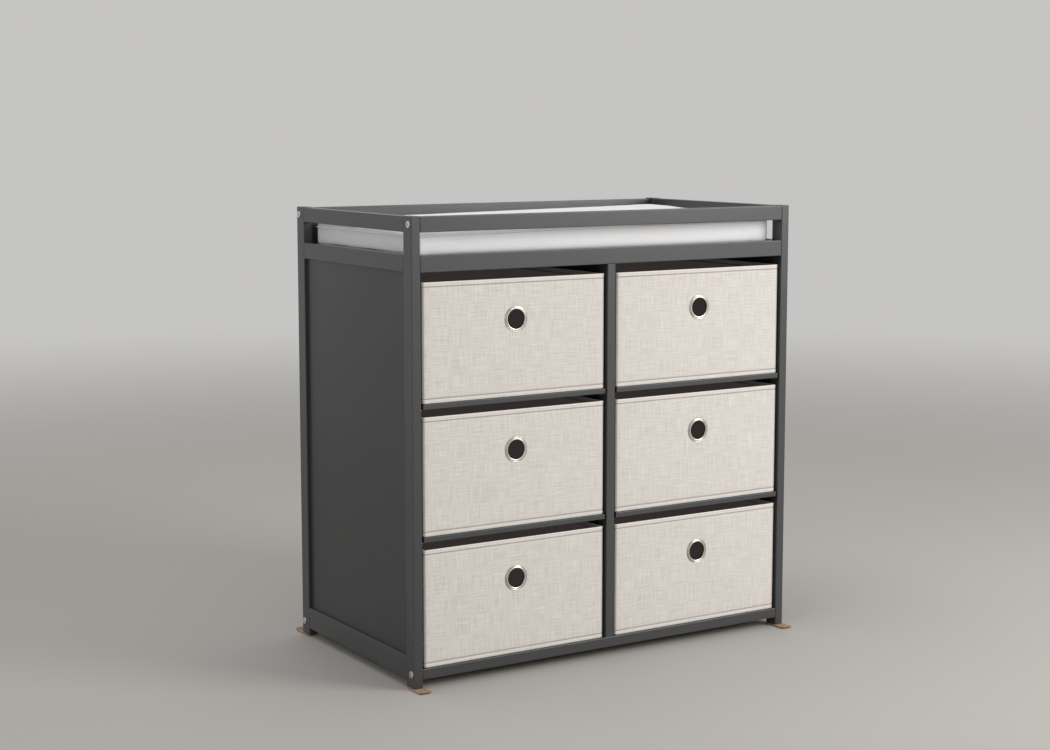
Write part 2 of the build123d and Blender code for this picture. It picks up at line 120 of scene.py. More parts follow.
# Slow waves in the cloth of a bin
WAVE_SIZE = 110 * MM
WAVE_DEPTH = 0.7 * MM
WAVE_STEP = 7.3

# Stitches
STITCH_PITCH = 3.6 * MM
STITCH_LENGTH = 2.9 * MM
STITCH_RADIUS = 0.55 * MM
STITCH_SUNK = 0.4

# Light that bounces about inside the bins
INSIDE_GLOW = "#2d2928"

# Floor: it thins out into the pale air around it
FLOOR_HALF = 9.0
FLOOR_FULL = 1.6
FLOOR_GONE = 6.5

# Changing pad: how far it starts inside its box, and how it is blown up
PAD_INSET = Vector((3, 4, 3)) * MM
PAD_REAR_RISE = 6 * MM
PAD_EAR = 3 * MM
PAD_EAR_REACH = 45 * MM
PAD_CORNER = 8 * MM
PAD_VOXEL = 6 * MM
PAD_PRESSURE = 4.0
PAD_FRAMES = 20
PAD_CAP = 7 * MM

# Welt round the upper edge of the pad
WELT_RADIUS = 1.3 * MM
WELT_PITCH = 8 * MM
WELT_DROP = 8 * MM
WELT_EAR = 2.5 * MM
WELT_SEARCH = 30 * MM

# Lamps: name, place, side of the square, power in watts and colour
LAMPS = (
    ("key", Vector((2.3, -2.9, 1.95)), 1.8, 100, "#fffdfb"),
    ("fill", Vector((-3.6, -1.6, 1.8)), 2.0, 18, "#f8faff"),
    ("top", Vector((-0.3, 0.6, 3.4)), 2.4, 26, "#ffffff"),
)
AIR_COLOUR = "#f1f0ee"
AIR_STRENGTH = 0.64


# ---------------------------------------------------------------- node trees


def linear(colour):
    """An sRGB colour, as #rrggbb, in linear red, green, blue and alpha."""
    channels = [int(colour[i:i + 2], 16) / 255 for i in (1, 3, 5)]
    values = [c / 12.92 if c <= 0.04045 else ((c + 0.055) / 1.055) ** 2.4 for c in channels]
    return [*values, 1.0]


def plug(tree, node, inputs):
    """Set a node's sockets to values, or link them to other nodes' outputs."""
    for socket, value in inputs.items():
        if isinstance(value, bpy.types.NodeSocket):
            tree.links.new(value, node.inputs[socket])
        else:
            node.inputs[socket].default_value = value


def add(tree, kind, inputs=None, output=None, **settings):
    """Add a node with its settings and links, and return one of its outputs."""
    node = tree.nodes.new("ShaderNode" + kind)
    for name, value in settings.items():
        setattr(node, name, value)
    plug(tree, node, inputs or {})
    if output is None:
        return next(socket for socket in node.outputs if socket.enabled)
    return node.outputs[output]


def new_material(name):
    """A material, its node tree and its main shader."""
    made = bpy.data.materials.new(name)
    made.use_nodes = True
    return made, made.node_tree, made.node_tree.nodes["Principled BSDF"]


def stretched(tree, across, along, axis):
    """Object coordinates, scaled for a pattern that is long on one axis and narrow across it."""
    scale = [1 / across] * 3
    scale[axis] = 1 / along
    place = add(tree, "TexCoord", output="Object")
    return add(tree, "Mapping", {"Vector": place, "Scale": scale})


def edges_of(tree, radius):
    """1 where the surface turns within a radius, such as on an eased edge, and 0 on flat faces."""
    rounded = add(tree, "Bevel", {"Radius": radius}, samples=6)
    flat = add(tree, "NewGeometry", output="Normal")
    facing = add(
        tree, "VectorMath", {0: rounded, 1: flat}, output="Value", operation="DOT_PRODUCT"
    )
    return add(
        tree,
        "MapRange",
        {"Value": facing, "From Min": 0.99, "From Max": 0.80, "To Min": 0.0, "To Max": 1.0},
    )


# ---------------------------------------------------------------- hard materials


def lacquered_pine(axis):
    """Pine, planed and sprayed with charcoal lacquer: an even satin grey, with a faint long grain
    under the film, and eased edges painted a little lighter, partly as paint rubbed thin there and
    partly as a painted highlight. The grain runs along an axis."""
    made, tree, shader = new_material(f"pine_satin_charcoal_lacquer_{AXIS_NAMES[axis]}")
    fibres = stretched(tree, 1.6 * MM, 70 * MM, axis)
    grain = add(tree, "TexNoise", {"Vector": fibres, "Scale": 1.0, "Detail": 4.0, "Roughness": 0.6})
    boards = stretched(tree, 90 * MM, 400 * MM, axis)
    cloud = add(tree, "TexNoise", {"Vector": boards, "Scale": 1.0, "Detail": 2.0})
    body = add(
        tree,
        "Mix",
        {"Factor": cloud, "A": linear("#323335"), "B": linear("#3c3d3f")},
        data_type="RGBA",
    )
    streaks = add(
        tree,
        "MapRange",
        {"Value": grain, "From Min": 0.35, "From Max": 0.7, "To Min": 0.0, "To Max": 0.22},
    )
    streaked = add(
        tree,
        "Mix",
        {"Factor": streaks, "A": body, "B": linear("#2d2e30")},
        data_type="RGBA",
    )
    # Eased edges painted lighter: partly paint rubbed thin, partly a painted highlight
    wear_and_edge_highlight = add(tree, "Math", {0: edges_of(tree, 1.4 * MM), 1: 0.12}, operation="MULTIPLY")
    colour = add(
        tree,
        "Mix",
        {"Factor": wear_and_edge_highlight, "A": streaked, "B": linear("#6c6d6f")},
        data_type="RGBA",
    )
    gloss = add(
        tree,
        "MapRange",
        {"Value": grain, "From Min": 0.3, "From Max": 0.7, "To Min": 0.34, "To Max": 0.46},
    )
    relief = add(tree, "Bump", {"Height": grain, "Strength": 0.25, "Distance": 0.12 * MM})
    plug(tree, shader, {"Base Color": colour, "Roughness": gloss, "Normal": relief, "IOR": 1.5})
    plug(tree, shader, {"Coat Weight": 0.4, "Coat Roughness": 0.25})
    return made


def lacquered_board():
    """Fibreboard, sanded and sprayed with the same lacquer: flatter and a shade darker than the
    pine, with the fine orange peel of a sprayed film."""
    made, tree, shader = new_material("fibreboard_satin_charcoal_lacquer")
    place = add(tree, "TexCoord", output="Object")
    cloud = add(tree, "TexNoise", {"Vector": place, "Scale": 1 / 0.25, "Detail": 3.0})
    peel = add(tree, "TexNoise", {"Vector": place, "Scale": 1 / (2.5 * MM), "Detail": 2.0})
    colour = add(
        tree,
        "Mix",
        {"Factor": cloud, "A": linear("#292a2c"), "B": linear("#313234")},
        data_type="RGBA",
    )
    gloss = add(
        tree,
        "MapRange",
        {"Value": cloud, "From Min": 0.3, "From Max": 0.7, "To Min": 0.40, "To Max": 0.50},
    )
    relief = add(tree, "Bump", {"Height": peel, "Strength": 0.2, "Distance": 0.08 * MM})
    plug(tree, shader, {"Base Color": colour, "Roughness": gloss, "Normal": relief, "IOR": 1.5})
    plug(tree, shader, {"Coat Weight": 0.3, "Coat Roughness": 0.3})
    return made


def hardboard():
    """Hardboard with a dark matt paper face: nearly black, brownish, with a soft fibre fleck."""
    made, tree, shader = new_material("hardboard_dark_matt_face")
    place = add(tree, "TexCoord", output="Object")
    fleck = add(tree, "TexNoise", {"Vector": place, "Scale": 1 / (4 * MM), "Detail": 5.0})
    colour = add(
        tree,
        "Mix",
        {"Factor": fleck, "A": linear("#353231"), "B": linear("#423e3c")},
        data_type="RGBA",
    )
    relief = add(tree, "Bump", {"Height": fleck, "Strength": 0.2, "Distance": 0.1 * MM})
    plug(tree, shader, {"Base Color": colour, "Roughness": 0.68, "Normal": relief, "IOR": 1.5})
    return made


def bare_beech():
    """Beech, planed and left bare: pale pinkish straw with short dark flecks along the grain."""
    made, tree, shader = new_material("beech_planed_bare")
    fibres = stretched(tree, 1.2 * MM, 18 * MM, 0)
    fleck = add(tree, "TexNoise", {"Vector": fibres, "Scale": 1.0, "Detail": 5.0})
    spread = add(tree, "MapRange", {"Value": fleck, "From Min": 0.4, "From Max": 0.7})
    colour = add(
        tree,
        "Mix",
        {"Factor": spread, "A": linear("#d9bd92"), "B": linear("#b08a5c")},
        data_type="RGBA",
    )
    relief = add(tree, "Bump", {"Height": fleck, "Strength": 0.3, "Distance": 0.1 * MM})
    plug(tree, shader, {"Base Color": colour, "Roughness": 0.6, "Normal": relief, "IOR": 1.5})
    return made


def zinc_steel():
    """Steel, turned and zinc plated: bright bluish silver, with a cloudy bloom and fine grit."""
    made, tree, shader = new_material("steel_turned_zinc_plated")
    place = add(tree, "TexCoord", output="Object")
    bloom = add(tree, "TexNoise", {"Vector": place, "Scale": 1 / (3 * MM), "Detail": 3.0})
    grit = add(tree, "TexNoise", {"Vector": place, "Scale": 1 / (0.5 * MM), "Detail": 2.0})
    colour = add(
        tree,
        "Mix",
        {"Factor": bloom, "A": linear("#c9cbce"), "B": linear("#e4e5e6")},
        data_type="RGBA",
    )
    gloss = add(
        tree,
        "MapRange",
        {"Value": bloom, "From Min": 0.3, "From Max": 0.7, "To Min": 0.22, "To Max": 0.34},
    )
    relief = add(tree, "Bump", {"Height": grit, "Strength": 0.15, "Distance": 0.03 * MM})
    plug(tree, shader, {"Base Color": colour, "Metallic": 1.0, "Roughness": gloss})
    plug(tree, shader, {"Normal": relief})
    return made


def nickel_steel():
    """Steel, pressed, nickel plated and polished: a warm silver ring, bright where it faces
    straight forward, and painted dark where it slopes away, as painted shade in its groove and
    round its foot."""
    made, tree, shader = new_material("steel_pressed_nickel_polished")
    place = add(tree, "TexCoord", output="Object")
    bloom = add(tree, "TexNoise", {"Vector": place, "Scale": 1 / (6 * MM), "Detail": 4.0})
    facing = add(tree, "TexCoord", output="Normal")
    forward = add(tree, "SeparateXYZ", {0: facing}, output="Y")
    frontal = add(tree, "Math", {0: forward}, operation="ABSOLUTE")
    # Painted shade: faces turned away from straight forward are mixed towards a dark colour
    painted_lit_face = add(
        tree,
        "MapRange",
        {"Value": frontal, "From Min": 0.55, "From Max": 0.92, "To Min": 0.0, "To Max": 1.0},
    )
    plate = add(
        tree,
        "Mix",
        {"Factor": bloom, "A": linear("#d2ccc0"), "B": linear("#e4dfd6")},
        data_type="RGBA",
    )
    colour = add(
        tree,
        "Mix",
        {"Factor": painted_lit_face, "A": linear("#837a69"), "B": plate},
        data_type="RGBA",
    )
    gloss = add(
        tree,
        "MapRange",
        {"Value": bloom, "From Min": 0.3, "From Max": 0.7, "To Min": 0.26, "To Max": 0.36},
    )
    plug(tree, shader, {"Base Color": colour, "Metallic": 1.0, "Roughness": gloss})
    return made


# ---------------------------------------------------------------- soft materials


def pressed_felt():
    """Felt, pressed from tan fibre: matt, mottled brown with a short nap."""
    made, tree, shader = new_material("felt_pressed_tan")
    place = add(tree, "TexCoord", output="Object")
    mottle = add(tree, "TexNoise", {"Vector": place, "Scale": 1 / (5 * MM), "Detail": 5.0})
    nap = add(tree, "TexNoise", {"Vector": place, "Scale": 1 / (0.8 * MM), "Detail": 3.0})
    colour = add(
        tree,
        "Mix",
        {"Factor": mottle, "A": linear("#7d5f45"), "B": linear("#a58463")},
        data_type="RGBA",
    )
    relief = add(tree, "Bump", {"Height": nap, "Strength": 0.6, "Distance": 0.3 * MM})
    plug(tree, shader, {"Base Color": colour, "Roughness": 0.9, "Normal": relief})
    plug(tree, shader, {"Sheen Weight": 0.2})
    return made


def linen_weave():
    """Polyester yarn in a plain linen weave: beige, matt, with thick and thin places in the yarns
    both ways, painted shade between the yarns, in the seam grooves and round the corners, a
    painted highlight along the top rim and a lighter tone over the hem and binding bands.
    The real yarns are 0.6 mm apart; they are drawn at 1.2 mm, so that they show."""
    made, tree, shader = new_material("polyester_plain_linen_weave")
    yarn = 1.2 * MM
    slub = 22 * MM
    place = add(tree, "TexCoord", output="Object")
    x, y, z = add(tree, "SeparateXYZ", {0: place}).node.outputs
    round_bin = add(tree, "Math", {0: x, 1: y}, operation="ADD")
    flat = add(tree, "CombineXYZ", {"X": round_bin, "Y": z})
    wander = add(tree, "TexNoise", {"Vector": flat, "Scale": 1 / (20 * MM)}, output="Color")
    cloth = add(
        tree,
        "VectorMath",
        {0: wander, 1: [0.8 * MM] * 3, 2: flat},
        operation="MULTIPLY_ADD",
    )
    warp_place = add(tree, "Mapping", {"Vector": cloth, "Scale": (1 / yarn, 1 / slub, 1.0)})
    weft_place = add(tree, "Mapping", {"Vector": cloth, "Scale": (1 / slub, 1 / yarn, 1.0)})
    warp_slub = add(tree, "TexNoise", {"Vector": warp_place, "Scale": 0.5, "Detail": 3.0})
    weft_slub = add(tree, "TexNoise", {"Vector": weft_place, "Scale": 0.5, "Detail": 3.0})
    band = math.pi / 10 / yarn
    waves = {"Vector": cloth, "Scale": band}
    warp = add(tree, "TexWave", waves, output="Fac", bands_direction="X")
    weft = add(tree, "TexWave", waves, output="Fac", bands_direction="Y")
    squares = {
        "Vector": cloth,
        "Scale": 1 / yarn,
        "Color1": linear("#ffffff"),
        "Color2": linear("#000000"),
    }
    over = add(tree, "TexChecker", squares, output="Fac")
    crown = add(tree, "Mix", {"Factor": over, "A": weft, "B": warp}, data_type="FLOAT")
    thick = add(tree, "Math", {0: warp_slub, 1: weft_slub}, operation="ADD")
    height = add(tree, "Math", {0: crown, 1: thick}, operation="MULTIPLY")
    tone = add(
        tree,
        "MapRange",
        {"Value": thick, "From Min": 0.72, "From Max": 1.28, "To Min": 0.0, "To Max": 1.0},
    )
    yarns = add(
        tree,
        "Mix",
        {"Factor": tone, "A": linear("#cbc6c1"), "B": linear("#e8e4df")},
        data_type="RGBA",
    )
    # Painted shade between the yarns, where the weave's crowns are low
    gap_shade = add(
        tree,
        "MapRange",
        {"Value": crown, "From Min": 0.0, "From Max": 0.6, "To Min": 0.30, "To Max": 0.0},
    )
    shaded = add(
        tree,
        "Mix",
        {"Factor": gap_shade, "A": yarns, "B": linear("#b0a9a2")},
        data_type="RGBA",
    )
    patch = add(tree, "TexNoise", {"Vector": place, "Scale": 1 / 0.12, "Detail": 3.0})
    aged = add(tree, "Math", {0: patch, 1: 0.22}, operation="MULTIPLY")
    body = add(
        tree,
        "Mix",
        {"Factor": aged, "A": shaded, "B": linear("#c9c5c2")},
        data_type="RGBA",
    )
    # Painted highlight along the top rim, and a lighter tone over the hem and binding bands
    rim = add(tree, "Attribute", output="Fac", attribute_name="rim")
    rim_highlight_and_bands = add(tree, "Math", {0: rim, 1: 0.6}, operation="MULTIPLY")
    lightened_rims = add(
        tree,
        "Mix",
        {"Factor": rim_highlight_and_bands, "A": body, "B": linear("#f1ede9")},
        data_type="RGBA",
    )
    # Painted shade in the seam grooves and round the upright corners, from the seam attribute
    seam = add(tree, "Attribute", output="Fac", attribute_name="seam")
    seam_shade = add(tree, "Math", {0: seam, 1: 0.75}, operation="MULTIPLY")
    colour = add(
        tree,
        "Mix",
        {"Factor": seam_shade, "A": lightened_rims, "B": linear("#7d6c5c")},
        data_type="RGBA",
    )
    relief = add(tree, "Bump", {"Height": height, "Strength": 0.4, "Distance": 0.25 * MM})
    plug(tree, shader, {"Base Color": colour, "Roughness": 0.88, "Normal": relief})
    plug(tree, shader, {"Sheen Weight": 0.12})
    return made


def spunbond_lining():
    """Polypropylene fibre, spun and point bonded: dull taupe, with a regular grid of small pressed
    dots. A trace of glow stands for the light that would bounce about inside a closed bin."""
    made, tree, shader = new_material("polypropylene_spunbond_lining")
    dot = 2.2 * MM
    place = add(tree, "TexCoord", output="Object")
    cells = add(
        tree,
        "TexVoronoi",
        {"Vector": place, "Scale": 1 / dot, "Randomness": 0.15},
        output="Distance",
    )
    pressed = add(tree, "MapRange", {"Value": cells, "From Min": 0.15, "From Max": 0.35})
    fibre = add(tree, "TexNoise", {"Vector": place, "Scale": 1 / (1.5 * MM), "Detail": 5.0})
    tone = add(tree, "Math", {0: pressed, 1: fibre}, operation="MULTIPLY")
    colour = add(
        tree,
        "Mix",
        {"Factor": tone, "A": linear("#6b625d"), "B": linear("#7c726c")},
        data_type="RGBA",
    )
    relief = add(tree, "Bump", {"Height": tone, "Strength": 0.5, "Distance": 0.15 * MM})
    plug(tree, shader, {"Base Color": colour, "Roughness": 0.85, "Normal": relief})
    plug(tree, shader, {"Emission Color": linear(INSIDE_GLOW), "Emission Strength": 1.0})
    return made


def sewing_thread():
    """Polyester sewing thread, twisted: taupe, with a low sheen and a slanting ply."""
    made, tree, shader = new_material("polyester_thread_taupe")
    place = add(tree, "TexCoord", output="Object")
    ply = add(
        tree,
        "TexWave",
        {"Vector": place, "Scale": math.pi / 10 / (0.5 * MM), "Distortion": 1.0},
        output="Fac",
        bands_direction="DIAGONAL",
    )
    colour = add(
        tree,
        "Mix",
        {"Factor": ply, "A": linear("#77685a"), "B": linear("#9a8a7b")},
        data_type="RGBA",
    )
    relief = add(tree, "Bump", {"Height": ply, "Strength": 0.3, "Distance": 0.1 * MM})
    plug(tree, shader, {"Base Color": colour, "Roughness": 0.6, "Normal": relief})
    plug(tree, shader, {"Sheen Weight": 0.3})
    return made


def coated_cloth():
    """Cloth coated with white vinyl, embossed: a soft low gloss over a very fine leather grain,
    with faint puckers where the foam behind it gives."""
    made, tree, shader = new_material("vinyl_coated_cloth_white_embossed")
    place = add(tree, "TexCoord", output="Object")
    grain = add(tree, "TexVoronoi", {"Vector": place, "Scale": 1 / (1.6 * MM)}, output="Distance")
    pucker = add(tree, "TexNoise", {"Vector": place, "Scale": 1 / (70 * MM), "Detail": 3.0})
    tint = add(tree, "TexNoise", {"Vector": place, "Scale": 1 / 0.2, "Detail": 2.0})
    colour = add(
        tree,
        "Mix",
        {"Factor": tint, "A": linear("#e5e6e8"), "B": linear("#f1f1f2")},
        data_type="RGBA",
    )
    soft = add(tree, "Bump", {"Height": pucker, "Strength": 0.35, "Distance": 2.5 * MM})
    relief = add(
        tree,
        "Bump",
        {"Height": grain, "Strength": 0.12, "Distance": 0.1 * MM, "Normal": soft},
    )
    gloss = add(
        tree,
        "MapRange",
        {"Value": tint, "From Min": 0.3, "From Max": 0.7, "To Min": 0.40, "To Max": 0.50},
    )
    plug(tree, shader, {"Base Color": colour, "Roughness": gloss, "Normal": relief, "IOR": 1.5})
    return made


def floor_paint():
    """A screeded floor with grey matt paint, all but plain, thinning out into the air around it."""
    made, tree, shader = new_material("screed_grey_matt_paint")
    place = add(tree, "TexCoord", output="Object")
    cloud = add(tree, "TexNoise", {"Vector": place, "Scale": 1 / 1.5, "Detail": 2.0})
    colour = add(
        tree,
        "Mix",
        {"Factor": cloud, "A": linear("#aca9a5"), "B": linear("#b3b0ac")},
        data_type="RGBA",
    )
    reach = add(tree, "VectorMath", {0: place}, output="Value", operation="LENGTH")
    fade = {
        "Value": reach,
        "From Min": FLOOR_FULL,
        "From Max": FLOOR_GONE,
        "To Min": 1.0,
        "To Max": 0.0,
    }
    here = add(tree, "MapRange", fade, interpolation_type="SMOOTHSTEP")
    plug(tree, shader, {"Base Color": colour, "Roughness": 0.8, "Alpha": here})
    return made


# ---------------------------------------------------------------- mesh helpers


def as_piece(bm, name, material, body):
    """Turn a bmesh into a smooth piece of one material that rides on a body."""
    mesh = bpy.data.meshes.new(name)
    bmesh.ops.recalc_face_normals(bm, faces=bm.faces)
    for face in bm.faces:
        face.smooth = True
    bm.to_mesh(mesh)
    bm.free()
    mesh.materials.append(material)
    piece = bpy.data.objects.new(name, mesh)
    bpy.context.scene.collection.objects.link(piece)
    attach(piece, body)
    return piece


def even_cuts(low, high, pitch):
    """Places that divide a stretch evenly, about a pitch apart, without its ends."""
    count = max(1, round((high - low) / pitch))
    return [low + (high - low) * i / count for i in range(1, count)]


def slice_at(bm, axis, places):
    """Cut all the faces with planes square to an axis."""
    for place in places:
        bmesh.ops.bisect_plane(
            bm,
            geom=bm.verts[:] + bm.edges[:] + bm.faces[:],
            dist=TOUCH,
            plane_co=AXES[axis] * place,
            plane_no=AXES[axis],
        )


def open_box(lo, hi, corner, fold):
    """A box of thin faces with no top, round upright corners and a folded bottom edge."""
    bm = bmesh.new()
    size = hi - lo
    place = Matrix.Translation((lo + hi) / 2) @ Matrix.Diagonal((*size, 1))
    bmesh.ops.create_cube(bm, matrix=place)
    upright = [e for e in bm.edges if abs(e.verts[0].co.z - e.verts[1].co.z) > TOUCH]
    bmesh.ops.bevel(
        bm, geom=upright, offset=corner, segments=2, profile=0.5, affect="EDGES", material=-1
    )
    floor = [e for e in bm.edges if all(abs(v.co.z - lo.z) < TOUCH for v in e.verts)]
    bmesh.ops.bevel(
        bm, geom=floor, offset=fold, segments=2, profile=0.5, affect="EDGES", material=-1
    )
    bm.normal_update()
    lid = [f for f in bm.faces if f.normal.z > SQUARE_ON]
    bmesh.ops.delete(bm, geom=lid, context="FACES")
    return bm


def open_hole(bm, centre, radius, block):
    """Open a round hole in the front wall, in the middle of a square block of its faces."""
    inside = [
        f
        for f in bm.faces
        if f.normal.y < -SQUARE_ON
        and abs(f.calc_center_median().x - centre.x) < block
        and abs(f.calc_center_median().z - centre.z) < block
    ]
    rim = [
        e for f in inside for e in f.edges if any(other not in inside for other in e.link_faces)
    ]
    bmesh.ops.delete(bm, geom=inside, context="FACES")
    upright = Matrix.Rotation(math.pi / 2, 4, "X") @ Matrix.Rotation(math.pi / 4, 4, "Z")
    circle = bmesh.ops.create_circle(
        bm,
        radius=radius,
        segments=len(rim),
        matrix=Matrix.Translation(centre) @ upright,
    )
    ring = {e for v in circle["verts"] for e in v.link_edges}
    bmesh.ops.bridge_loops(bm, edges=rim + list(ring))


def finish_cloth(piece, thickness, levels=1):
    """Give a skin its thickness inwards and soften it."""
    wall = piece.modifiers.new("thickness", "SOLIDIFY")
    wall.thickness = thickness
    wall.offset = -1.0
    wall.use_even_offset = True
    soft = piece.modifiers.new("softness", "SUBSURF")
    soft.levels = levels
    soft.render_levels = levels


def stitch_row(bm, bead, start, end):
    """Add a straight row of stitches, each a copy of a bead stretched along the row."""
    run = end - start
    count = round(run.length / STITCH_PITCH)
    shape = run.to_track_quat("X", "Z").to_matrix().to_4x4()
    shape = shape @ Matrix.Diagonal((STITCH_LENGTH / 2, STITCH_RADIUS, STITCH_RADIUS, 1))
    for i in range(count):
        stitch = bead.copy()
        stitch.transform(Matrix.Translation(start + run * (i + 0.5) / count) @ shape)
        bm.from_mesh(stitch)
        bpy.data.meshes.remove(stitch)


# ---------------------------------------------------------------- bins


def cuts_beside(seams):
    """The middle and the two edges of each seam."""
    return [seam + side * SEAM_REACH for seam in seams for side in (-1, 0, 1)]


def groove(place, seams):
    """How deep a point is in the nearest of some seams, from 0 outside them to 1 in the middle."""
    return max((max(0.0, 1 - abs(place - seam) / SEAM_REACH) for seam in seams))


def bin_skin(lo, hi, grommet, seams_y=(), seams_z=()):
    """The skin of one wall layer: an open box cut into a grid, with the finger hole. The cuts also
    follow each seam, in its middle and at both its edges."""
    bm = open_box(lo, hi, CORNER_RADIUS, BOTTOM_FOLD)
    across, upward = [
        [centre + HOLE_BLOCK * (2 * i / HOLE_CUTS - 1) for i in range(HOLE_CUTS + 1)]
        for centre in (grommet.x, grommet.z)
    ]
    for axis, fixed in enumerate((across, cuts_beside(seams_y), upward + cuts_beside(seams_z))):
        free = [
            place
            for place in even_cuts(lo[axis], hi[axis], WALL_PITCH)
            if all(abs(place - other) > WALL_PITCH / 3 for other in fixed)
        ]
        slice_at(bm, axis, sorted(free + fixed))
    bm.normal_update()
    open_hole(bm, Vector((grommet.x, lo.y, grommet.z)), HOLE_RADIUS, HOLE_BLOCK)
    bm.normal_update()
    return bm


def shape_cover(bm, lo, hi, grommet, seams, seed):
    """Press the seams in, raise the folded rims and let the cloth wave a little between them."""
    seam_shade_layer = bm.verts.layers.float.new("seam")
    rim_layer = bm.verts.layers.float.new("rim")
    middle = (lo + hi) / 2
    half = (hi - lo) / 2
    for vert in bm.verts:
        normal = vert.normal.copy()
        place = vert.co
        if normal.z < -SQUARE_ON:
            continue
        # How far a point is in a seam: this presses the seam in and also sets its painted shade,
        # which is full at the rounded upright corners
        groove_and_shade = groove(place.z, seams["rows"])
        if min(abs(normal.x), abs(normal.y)) > CORNER_FACING:
            groove_and_shade = 1.0
        vert[seam_shade_layer] = groove_and_shade
        push = -SEAM_DEPTH * groove_and_shade - CREASE_DEPTH * groove(place.z, [seams["crease"]])
        if abs(normal.x) > SQUARE_ON and abs(place.y - middle.y) > half.y - CORNER_SEAM:
            push += CORNER_RISE
        # The rim attribute: a painted highlight on the top rim, a lighter tone over the hem band
        # and the binding band
        if place.z > hi.z - HEM + SEAM_REACH / 2:
            push += HEM_RISE
            vert[rim_layer] = RIM_HIGHLIGHT if place.z > hi.z - RIM_STEP - TOUCH else HEM_LIGHTER
        if place.z < lo.z + BINDING - SEAM_REACH / 2:
            push += BINDING_RISE
            vert[rim_layer] = BINDING_LIGHTER
        if abs(normal.y) > SQUARE_ON:
            across = (place.x - middle.x) / half.x
        else:
            across = (place.y - middle.y) / half.y
        upward = (place.z - middle.z) / half.z
        free = max(0.0, 1 - across**2) * max(0.0, 1 - upward**2)
        near = math.hypot(place.x - grommet.x, place.z - grommet.z)
        if normal.y < -SQUARE_ON:
            free *= min(1.0, max(0.0, (near - FLAT_RING) / FLAT_FADE))
        wave = noise.noise(place / WAVE_SIZE + Vector((seed, 0, 0)))
        push += WAVE_DEPTH * free * (1 + 2 * wave)
        vert.co += normal * push


def stitches(name, lo, hi, rows, body):
    """Rows of stitches round the hem and round the bottom binding."""
    bm = bmesh.new()
    bmesh.ops.create_icosphere(bm, subdivisions=1, radius=1.0)
    bead = bpy.data.meshes.new("stitch")
    bm.to_mesh(bead)
    bm.clear()
    sunk = SEAM_DEPTH - STITCH_RADIUS * STITCH_SUNK
    left, right = lo.x + CORNER_RADIUS, hi.x - CORNER_RADIUS
    front, rear = lo.y + CORNER_SEAM, hi.y - CORNER_SEAM
    for z in rows:
        for y in (lo.y + sunk, hi.y - sunk):
            stitch_row(bm, bead, Vector((left, y, z)), Vector((right, y, z)))
        for x in (lo.x + sunk, hi.x - sunk):
            stitch_row(bm, bead, Vector((x, front, z)), Vector((x, rear, z)))
    bpy.data.meshes.remove(bead)
    as_piece(bm, name, materials["taupe_thread"], body)


def make_bin(row, side, seed):
    """A bin's cloth cover, its lining and its stitches, in place of the plain shell."""
    body = f"bin_{row}_{side}"
    lo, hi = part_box(f"bin_{row}_{side}")
    ring_lo, ring_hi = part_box(f"grommet_{row}_{side}")
    grommet = (ring_lo + ring_hi) / 2
    seams = {
        "rows": [hi.z - HEM, lo.z + BINDING],
        "crease": hi.z - HEM_CREASE,
        "corners": [lo.y + CORNER_SEAM, hi.y - CORNER_SEAM],
    }
    bm = bin_skin(lo, hi, grommet, seams["corners"], [*seams["rows"], seams["crease"]])
    slice_at(bm, 2, [hi.z - RIM_STEP])
    bm.normal_update()
    shape_cover(bm, lo, hi, grommet, seams, seed)
    cover = as_piece(bm, f"cover_{row}_{side}", materials["linen"], body)
    finish_cloth(cover, COVER_THICKNESS)
    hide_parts(f"bin_{row}_{side}")

    low_inset = Vector((LINING_INSET, LINING_INSET, LINING_INSET))
    high_inset = Vector((LINING_INSET, LINING_INSET, LINING_DROP))
    bm = bin_skin(lo + low_inset, hi - high_inset, grommet)
    lining = as_piece(bm, f"lining_{row}_{side}", materials["lining"], body)
    finish_cloth(lining, LINING_THICKNESS, 0)
    stitches(f"stitches_{row}_{side}", lo, hi, seams["rows"], body)


# ---------------------------------------------------------------- changing pad


def inflate(piece, pressure, frames, cap):
    """Blow up a closed skin by cloth simulation, with every point kept near its start."""
    scene = bpy.context.scene
    cloth = piece.modifiers.new("cloth", "CLOTH")
    cloth.settings.use_pressure = True
    cloth.settings.uniform_pressure_force = pressure
    cloth.settings.effector_weights.gravity = 0.0
    cloth.settings.quality = 5
    for number in range(1, frames + 1):
        scene.frame_set(number)
    evaluated = piece.evaluated_get(bpy.context.evaluated_depsgraph_get())
    moved = [vert.co.copy() for vert in evaluated.data.vertices]
    piece.modifiers.remove(cloth)
    scene.frame_set(1)
    for vert, target in zip(piece.data.vertices, moved):
        step = target - vert.co
        vert.co += step * min(1.0, cap / max(step.length, TOUCH))


def remesh(piece, voxel):
    """Rebuild a closed mesh from even voxels."""
    modifier = piece.modifiers.new("voxels", "REMESH")
    modifier.mode = "VOXEL"
    modifier.voxel_size = voxel
    graph = bpy.context.evaluated_depsgraph_get()
    graph.update()
    mesh = bpy.data.meshes.new_from_object(piece.evaluated_get(graph))
    piece.modifiers.remove(modifier)
    piece.data = mesh


